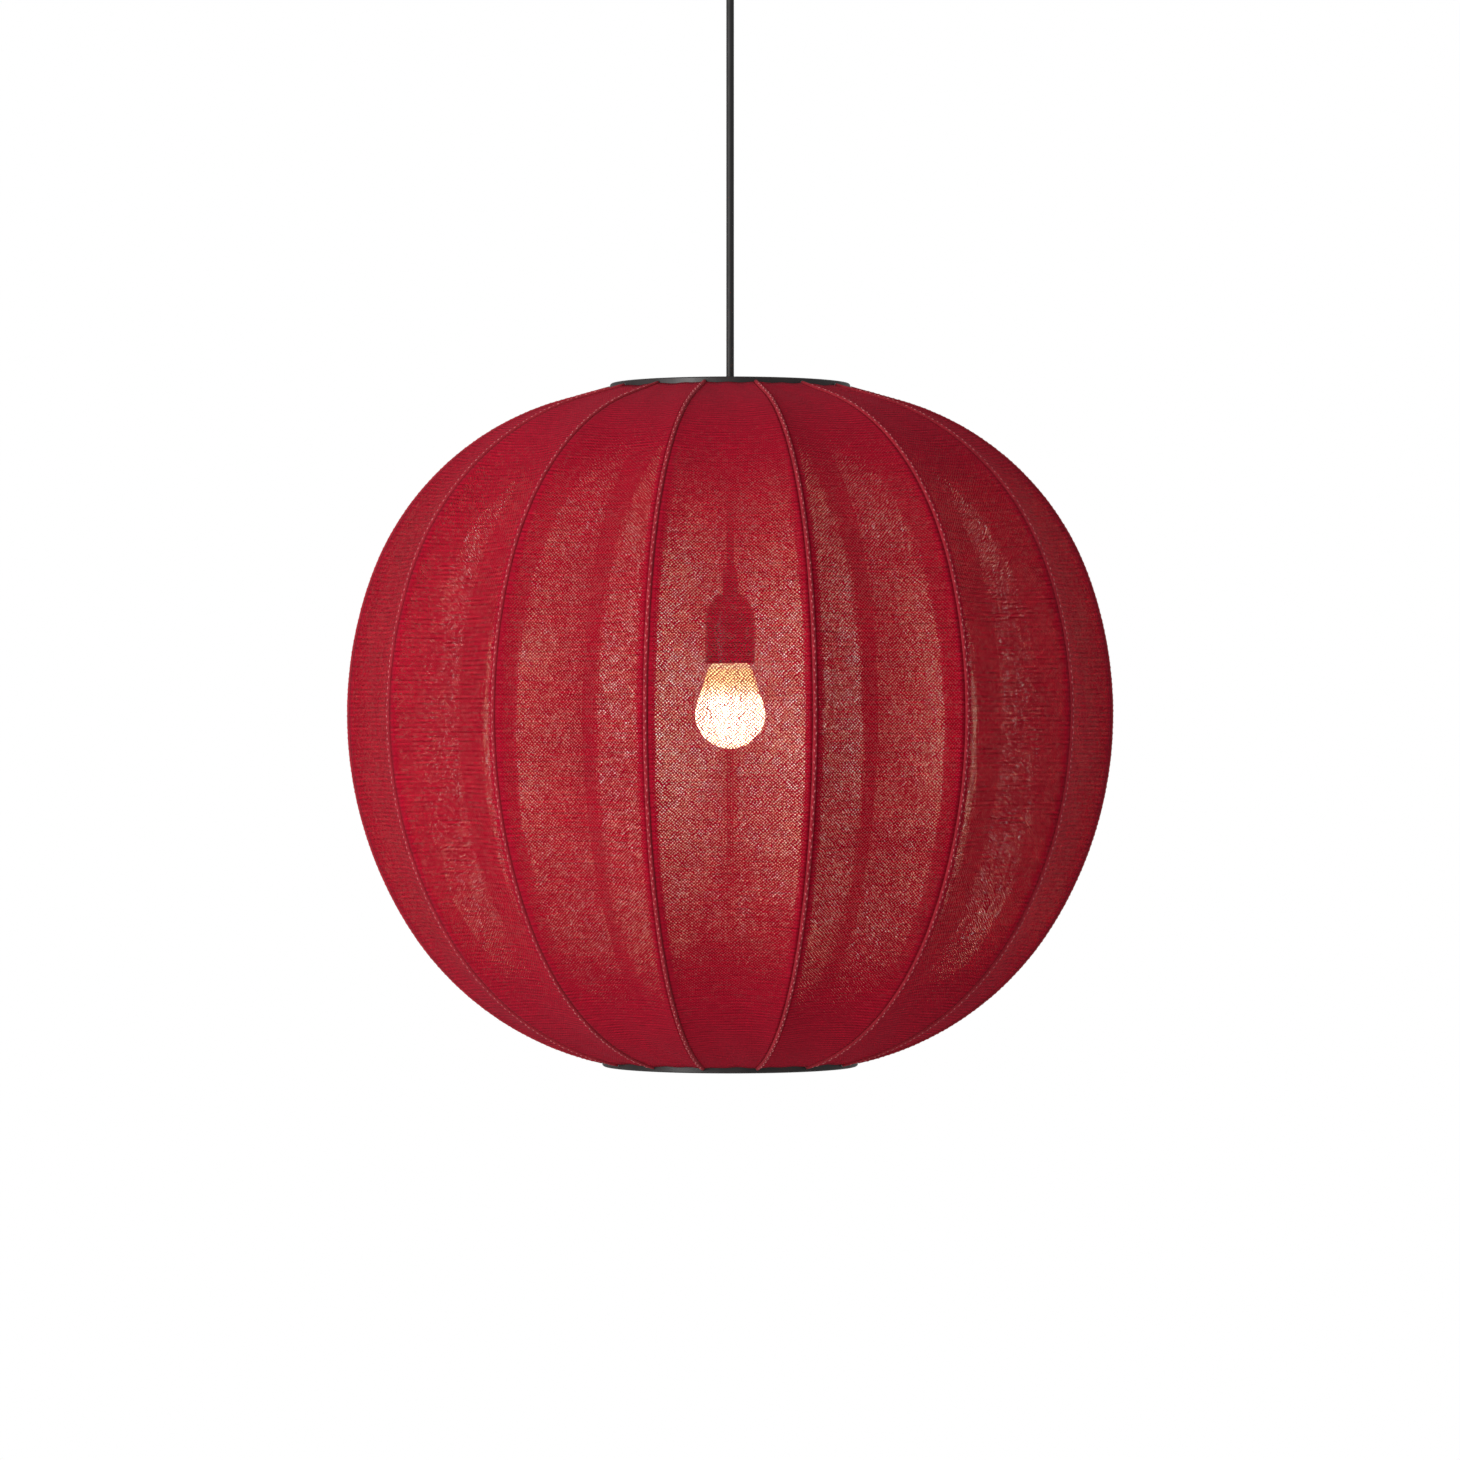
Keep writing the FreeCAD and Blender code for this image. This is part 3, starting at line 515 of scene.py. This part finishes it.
# ---- the rib's outline -------------------------------------------------------------------------
def half_outline(ring, first_turn, end_slope, straight):
    """Two tangent arcs and a straight run from the widest level to a ring, as the CAD has them."""
    turn, full = math.radians(first_turn), math.radians(90 - end_slope)
    inward = RIB_RADIUS - ring["outside"] - straight * math.sin(full)
    along = ring["rise"] - straight * math.cos(full)
    a, b = 1 - math.cos(turn), math.cos(turn) - math.cos(full)
    c, d = math.sin(turn), math.sin(full) - math.sin(turn)
    first = (inward * d - along * b) / (a * d - b * c)
    second = (along * a - inward * c) / (a * d - b * c)
    length = first * turn + second * (full - turn) + straight
    return {"first": first, "second": second, "turn": turn, "full": full, "length": length}


UPPER = half_outline(TOP_RING, 20, 16, 0.040)
LOWER = half_outline(BOTTOM_RING, 32, 13, 0.001)


def on_rib(length):
    """(radius, height, turn, side) on the rib, at a length above (+) or below (-) the widest level."""
    side = 1 if length >= 0 else -1
    half = UPPER if side > 0 else LOWER
    left = abs(length)
    first_length = half["first"] * half["turn"]
    if left <= first_length:
        angle, beyond = left / half["first"], 0.0
    else:
        angle = half["turn"] + (left - first_length) / half["second"]
        beyond = max(0.0, (angle - half["full"]) * half["second"])
        angle = min(angle, half["full"])
    first_part = min(angle, half["turn"])
    radius = RIB_RADIUS - half["first"] * (1 - math.cos(first_part))
    height = half["first"] * math.sin(first_part)
    if angle > half["turn"]:
        radius -= half["second"] * (math.cos(half["turn"]) - math.cos(angle))
        height += half["second"] * (math.sin(angle) - math.sin(half["turn"]))
    radius -= beyond * math.sin(angle)
    height += beyond * math.cos(angle)
    return radius, EQUATOR + side * height, angle, side


def smooth_step(value, low, high):
    """0 below low, 1 above high and a soft rise between them."""
    share = min(1.0, max(0.0, (value - low) / (high - low)))
    return share * share * (3 - 2 * share)


def hem_width(length):
    """How far a hem reaches inwards, by its place along the rib from the lower to the upper ring."""
    places = [-1.0, -0.88, -0.72, -0.52, -0.25, 0.0, 0.3, 0.5, 0.75, 0.89, 0.95, 1.0]
    widths = [7, 12, 17, 17, 21.5, 26, 28, 30, 30, 18, 12, 7]  # millimetres
    half = UPPER if length >= 0 else LOWER
    return float(np.interp(length / half["length"], places, widths)) / 1000


def rib_azimuth(index):
    """Ribs stand half a step each side of the front, which is -Y."""
    return math.radians(-90) + STEP / 2 + index * STEP


# ---- gores -------------------------------------------------------------------------------------
def gore_rows():
    """Lengths along the rib at which a gore has a row of points."""
    low, high = -(LOWER["length"] - 0.0015), UPPER["length"] - 0.0010
    return np.linspace(low, high, round((high - low) / ROW_LENGTH))


def gore_grid(seed):
    """Points of a gore's outer face, centred on +X, from one hem's free edge to the other's.

    Returns the points, their (u, v) in metres and how open the net is at each of them."""
    rng = np.random.default_rng(seed)
    wave = rng.uniform(0, 2 * math.pi, 6)
    points, flat, openness = [], [], []
    widest = RIB_RADIUS * math.sin(STEP / 2)
    for length in gore_rows():
        radius, height, turn, side = on_rib(length)
        half_width = radius * math.sin(STEP / 2) - SIDE_OFFSET * math.cos(STEP / 2)
        middle = radius * math.cos(STEP / 2) + SIDE_OFFSET * math.sin(STEP / 2)
        sag = SADDLE * (half_width / widest) ** 2
        inward = np.array([-math.cos(turn), 0.0, -side * math.sin(turn)])
        base = np.array([middle, 0.0, height])
        ring = TOP_RING if side > 0 else BOTTOM_RING
        half = UPPER if side > 0 else LOWER
        near_ring = smooth_step(abs(length), half["length"] - 0.035, half["length"] - 0.001)
        hem = hem_width(length)
        hem += 0.0009 * math.sin(length * 95 + wave[0]) + 0.0006 * math.sin(length * 240 + wave[1])
        lean = math.cos(turn) * math.tan(STEP / 2)
        row, row_flat, row_open = [], [], []

        def hem_spot(sign, share):
            deep = hem * share
            flare = HEM_LEAN * share**2 * (1 - near_ring)
            across = sign * (half_width - deep * lean - flare)
            row.append(base + inward * deep + np.array([0, across, 0]))
            row_flat.append((sign * (half_width + deep), length))
            row_open.append(0.0)

        for k in range(HEM_STEPS, 0, -1):
            hem_spot(-1, k / HEM_STEPS)
        for k in range(ACROSS_STEPS + 1):
            share = -math.cos(math.pi * k / ACROSS_STEPS) * 0.35 + (2 * k / ACROSS_STEPS - 1) * 0.65
            across = share * half_width
            ripple = 0.0004 * math.sin(length * 60 + 5 * share + wave[2]) * (1 - share**2)
            spot = base + inward * (sag * (1 - share**2) + ripple) + np.array([0, across, 0])
            spread = math.hypot(spot[0], spot[1])
            target = ring["outside"] + 0.0006 + (radius - ring["outside"]) * 0.9
            wanted = spread + (target - spread) * near_ring
            spot[:2] *= wanted / spread
            row.append(spot)
            row_flat.append((across, length))
            edge = smooth_step(half_width * (1 - abs(share)), 0.0015, 0.0045)
            ends = smooth_step(half["length"] - abs(length), 0.05, 0.20)
            row_open.append(edge * ends)
        for k in range(1, HEM_STEPS + 1):
            hem_spot(1, k / HEM_STEPS)
        points.append(row)
        flat.append(row_flat)
        openness.append(row_open)
    return np.array(points), np.array(flat), np.array(openness)


def inward_normals(grid):
    """Unit normals of a grid of points, towards the inside of the shade."""
    along = np.gradient(grid, axis=0)
    across = np.gradient(grid, axis=1)
    normals = np.cross(along, across)
    normals /= np.linalg.norm(normals, axis=2, keepdims=True)
    if normals[normals.shape[0] // 2, normals.shape[1] // 2, 0] > 0:
        normals = -normals
    return normals


NET_SHIFT = (0.31, 0.17)  # from one gore's net to the next, so that no two have the same one
OUTSIDE_SLOT, INSIDE_SLOT, HEM_SLOT = 0, 1, 2


def gore_object(name, index):
    """One gore as a closed thin shell: outer face, inner face, two hems and the cut edges."""
    outer, flat, openness = gore_grid(100 + index)
    rows, columns = outer.shape[:2]
    thick = np.full(columns, CLOTH)
    thick[:HEM_STEPS] = thick[-HEM_STEPS:] = HEM_CLOTH
    inner = outer + inward_normals(outer) * thick[None, :, None]
    azimuth = rib_azimuth(index) + STEP / 2
    turn = np.array(Matrix.Rotation(azimuth, 3, "Z"))
    vertices = np.concatenate([outer.reshape(-1, 3), inner.reshape(-1, 3)]) @ turn.T
    layer = rows * columns
    uvs = np.concatenate([flat.reshape(-1, 2)] * 2) + index * np.array(NET_SHIFT)
    faces, slots = [], []

    def at(i, j, inside=0):
        return inside * layer + i * columns + j

    for i in range(rows - 1):
        for j in range(columns - 1):
            hem = j < HEM_STEPS or j >= columns - 1 - HEM_STEPS
            faces.append((at(i, j), at(i, j + 1), at(i + 1, j + 1), at(i + 1, j)))
            slots.append(HEM_SLOT if hem else OUTSIDE_SLOT)
            faces.append((at(i, j, 1), at(i + 1, j, 1), at(i + 1, j + 1, 1), at(i, j + 1, 1)))
            slots.append(HEM_SLOT if hem else INSIDE_SLOT)
        for j, flip in ((0, False), (columns - 1, True)):
            rim = (at(i, j), at(i + 1, j), at(i + 1, j, 1), at(i, j, 1))
            faces.append(rim[::-1] if flip else rim)
            slots.append(INSIDE_SLOT)
    for j in range(columns - 1):
        for i, flip in ((0, True), (rows - 1, False)):
            rim = (at(i, j), at(i, j + 1), at(i, j + 1, 1), at(i, j, 1))
            faces.append(rim[::-1] if flip else rim)
            slots.append(HEM_SLOT)
    mesh = bpy.data.meshes.new(name)
    mesh.from_pydata(vertices.tolist(), [], faces)
    for material in (knit_outside, knit_inside, knit_hem):
        mesh.materials.append(material)
    mesh.polygons.foreach_set("material_index", slots)
    mesh.polygons.foreach_set("use_smooth", [True] * len(faces))
    loops = np.empty(len(mesh.loops), dtype=np.int32)
    mesh.loops.foreach_get("vertex_index", loops)
    mesh.uv_layers.new(name="knit").data.foreach_set("uv", uvs[loops].ravel())
    attribute = mesh.attributes.new("open", "FLOAT", "POINT")
    attribute.data.foreach_set("value", np.concatenate([openness.ravel()] * 2))
    mesh.update()
    made = bpy.data.objects.new(name, mesh)
    bpy.context.scene.collection.objects.link(made)
    return made, outer_area(outer)


def outer_area(grid):
    """The area of a grid of points, in square metres."""
    a, b = grid[1:, :-1] - grid[:-1, :-1], grid[:-1, 1:] - grid[:-1, :-1]
    return float(np.linalg.norm(np.cross(a, b), axis=2).sum())


# ---- sleeves and their stitches ----------------------------------------------------------------
def rib_frame(length, azimuth):
    """A rib's point, outward normal and direction, at a length along it."""
    radius, height, turn, side = on_rib(length)
    out = Vector((math.cos(turn), 0, side * math.sin(turn)))
    along = Vector((-side * math.sin(turn), 0, math.cos(turn)))
    spin = Matrix.Rotation(azimuth, 3, "Z")
    return spin @ Vector((radius, 0, height)), spin @ out, spin @ along


SLEEVE_RINGS = 150
SLEEVE_SIDES = 14
SLEEVE_GAP = 0.0006  # between a sleeve's end and its rib's


def add_object(name, vertices, faces, material):
    """A smooth mesh object in one material."""
    mesh = bpy.data.meshes.new(name)
    mesh.from_pydata(vertices, [], faces)
    mesh.materials.append(material)
    mesh.polygons.foreach_set("use_smooth", [True] * len(faces))
    made = bpy.data.objects.new(name, mesh)
    bpy.context.scene.collection.objects.link(made)
    return made


def sleeve_object(name, index):
    """The knitted tube over one rib, slightly uneven along its length, closed at both ends."""
    azimuth = rib_azimuth(index)
    low, high = -(LOWER["length"] - SLEEVE_GAP), UPPER["length"] - SLEEVE_GAP
    lengths = np.linspace(low, high, SLEEVE_RINGS)
    sides = SLEEVE_SIDES
    vertices, faces = [], []
    for length in lengths:
        centre, out, along = rib_frame(length, azimuth)
        across = along.cross(out)
        swell = 0.03 * math.sin(length * 420 + index) + 0.02 * math.sin(length * 151)
        radius = SLEEVE_RADIUS * (1 + swell)
        for k in range(sides):
            angle = 2 * math.pi * k / sides
            vertices.append(centre + (out * math.cos(angle) + across * math.sin(angle)) * radius)
    for i in range(len(lengths) - 1):
        for k in range(sides):
            a, b = i * sides + k, i * sides + (k + 1) % sides
            faces.append((a, b, b + sides, a + sides))
    faces.append(tuple(reversed(range(sides))))
    last = (len(lengths) - 1) * sides
    faces.append(tuple(range(last, last + sides)))
    return add_object(name, vertices, faces, sleeve)


BEAD_RINGS = 3
BEAD_SIDES = 6
BEAD_HALF_LENGTH = 0.0010
BEAD_HALF_WIDTH = 0.00042
BEAD_HALF_HEIGHT = 0.0004
STITCH_START = 0.008  # from the lower end of the rib


def stitch_object(name, index):
    """The small stitches that close a sleeve, along its crest."""
    azimuth = rib_azimuth(index)
    rng = np.random.default_rng(500 + index)
    vertices, faces = [], []
    count = int((LOWER["length"] + UPPER["length"] - 2 * STITCH_START) / STITCH_STEP)
    for n in range(count):
        length = -LOWER["length"] + STITCH_START + n * STITCH_STEP + rng.uniform(-0.0004, 0.0004)
        centre, out, along = rib_frame(length, azimuth)
        across = along.cross(out)
        side = 0.0005 * (1 if n % 2 else -1) + rng.uniform(-0.0002, 0.0002)
        middle = centre + out * (SLEEVE_RADIUS - 0.0001) + across * side
        slant = along * 0.9 + across * (0.35 if n % 2 else -0.35)
        slant.normalize()
        sideways = out.cross(slant)
        size = rng.uniform(0.85, 1.15)
        first = len(vertices)
        vertices.append(middle - slant * BEAD_HALF_LENGTH * size)
        for ring_index in range(BEAD_RINGS):
            place = math.pi * (ring_index + 1) / (BEAD_RINGS + 1)
            for k in range(BEAD_SIDES):
                angle = 2 * math.pi * k / BEAD_SIDES
                round_part = sideways * math.cos(angle) * BEAD_HALF_WIDTH
                round_part += out * math.sin(angle) * BEAD_HALF_HEIGHT
                vertices.append(
                    middle
                    - slant * math.cos(place) * BEAD_HALF_LENGTH * size
                    + round_part * math.sin(place) * size
                )
        vertices.append(middle + slant * BEAD_HALF_LENGTH * size)
        last = len(vertices) - 1
        for k in range(BEAD_SIDES):
            nxt = (k + 1) % BEAD_SIDES
            faces.append((first, first + 1 + nxt, first + 1 + k))
            for r in range(BEAD_RINGS - 1):
                low, high = first + 1 + r * BEAD_SIDES, first + 1 + (r + 1) * BEAD_SIDES
                faces.append((low + k, low + nxt, high + nxt, high + k))
            top = first + 1 + (BEAD_RINGS - 1) * BEAD_SIDES
            faces.append((top + k, top + nxt, last))
    return add_object(name, vertices, faces, thread)


for index in range(RIB_COUNT):
    number = f"{index + 1:02d}"
    panel, area = gore_object("knit_panel_" + number, index)
    if index == 0:
        print(f"gore: {area:.4f} square metres with its hems")
    piping = sleeve_object("rib_sleeve_" + number, index)
    stitches = stitch_object("rib_stitches_" + number, index)
    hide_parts("knit_gore_" + number)
    for piece in (panel, piping, stitches):
        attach(piece, "shade")

# ---- floor, light and camera -------------------------------------------------------------------
FLOOR_LEVEL = -2.3
FLOOR_REACH = 6  # its far edge stays just below the camera's view
mesh = bpy.data.meshes.new("floor")
corners = [(FLOOR_REACH * x, FLOOR_REACH * y) for x, y in ((-1, -1), (1, -1), (1, 1), (-1, 1))]
mesh.from_pydata([(x, y, FLOOR_LEVEL) for x, y in corners], [], [(0, 1, 2, 3)])
floor = bpy.data.objects.new("floor", mesh)
bpy.context.scene.collection.objects.link(floor)
floor.data.materials.append(plastic("floor_pale", (0.80, 0.80, 0.79), 0.7, 300.0))


def soft_light(name, azimuth, height, distance, size, power, colour):
    """A square soft light that faces the middle of the shade, azimuth in degrees from +X."""
    light = bpy.data.lights.new(name, "AREA")
    light.size = size
    light.energy = power
    light.color = colour
    holder = bpy.data.objects.new(name, light)
    angle = math.radians(azimuth)
    holder.location = (distance * math.cos(angle), distance * math.sin(angle), EQUATOR + height)
    towards = Vector((0, 0, EQUATOR)) - holder.location
    holder.rotation_euler = towards.to_track_quat("-Z", "Y").to_euler()
    holder.visible_camera = False
    bpy.context.scene.collection.objects.link(holder)
    return holder


soft_light("key", -133, 0.5, 3.2, 1.6, 65, (1.0, 0.98, 0.97))

bulb_light = bpy.data.lights.new("bulb_glow", "POINT")
bulb_light.energy = 4.8
bulb_light.color = (1.0, 0.86, 0.68)
bulb_light.shadow_soft_size = 0.033
glow = bpy.data.objects.new("bulb_glow", bulb_light)
glow.location = (0, 0, BULB_CENTRE)
glow.visible_camera = False
bpy.context.scene.collection.objects.link(glow)
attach(glow, "bulb")

# The camera sees a white wall, and the lamp is lit by a softer grey one.
world = bpy.data.worlds.new("studio")
world.use_nodes = True
tree = world.node_tree
tree.nodes.clear()
seen, lighting = tree.nodes.new("ShaderNodeBackground"), tree.nodes.new("ShaderNodeBackground")
seen.inputs[0].default_value = (1, 1, 1, 1)
seen.inputs[1].default_value = 1.0
lighting.inputs[0].default_value = (1, 1, 1, 1)
lighting.inputs[1].default_value = 0.42
mixer = tree.nodes.new("ShaderNodeMixShader")
ray = tree.nodes.new("ShaderNodeLightPath")
out = tree.nodes.new("ShaderNodeOutputWorld")
tree.links.new(ray.outputs["Is Camera Ray"], mixer.inputs[0])
tree.links.new(lighting.outputs[0], mixer.inputs[1])
tree.links.new(seen.outputs[0], mixer.inputs[2])
tree.links.new(mixer.outputs[0], out.inputs[0])
bpy.context.scene.world = world

camera_data = bpy.data.cameras.new("camera")
camera_data.sensor_width = 36
camera_data.lens = 132.28
camera = bpy.data.objects.new("camera", camera_data)
camera.location = (-0.0001, -4.2, -0.6624)
camera.rotation_euler = (math.radians(90), 0, 0)
bpy.context.scene.collection.objects.link(camera)
bpy.context.scene.camera = camera
bpy.context.scene.view_settings.view_transform = "Standard"
bpy.context.scene.view_settings.look = "None"
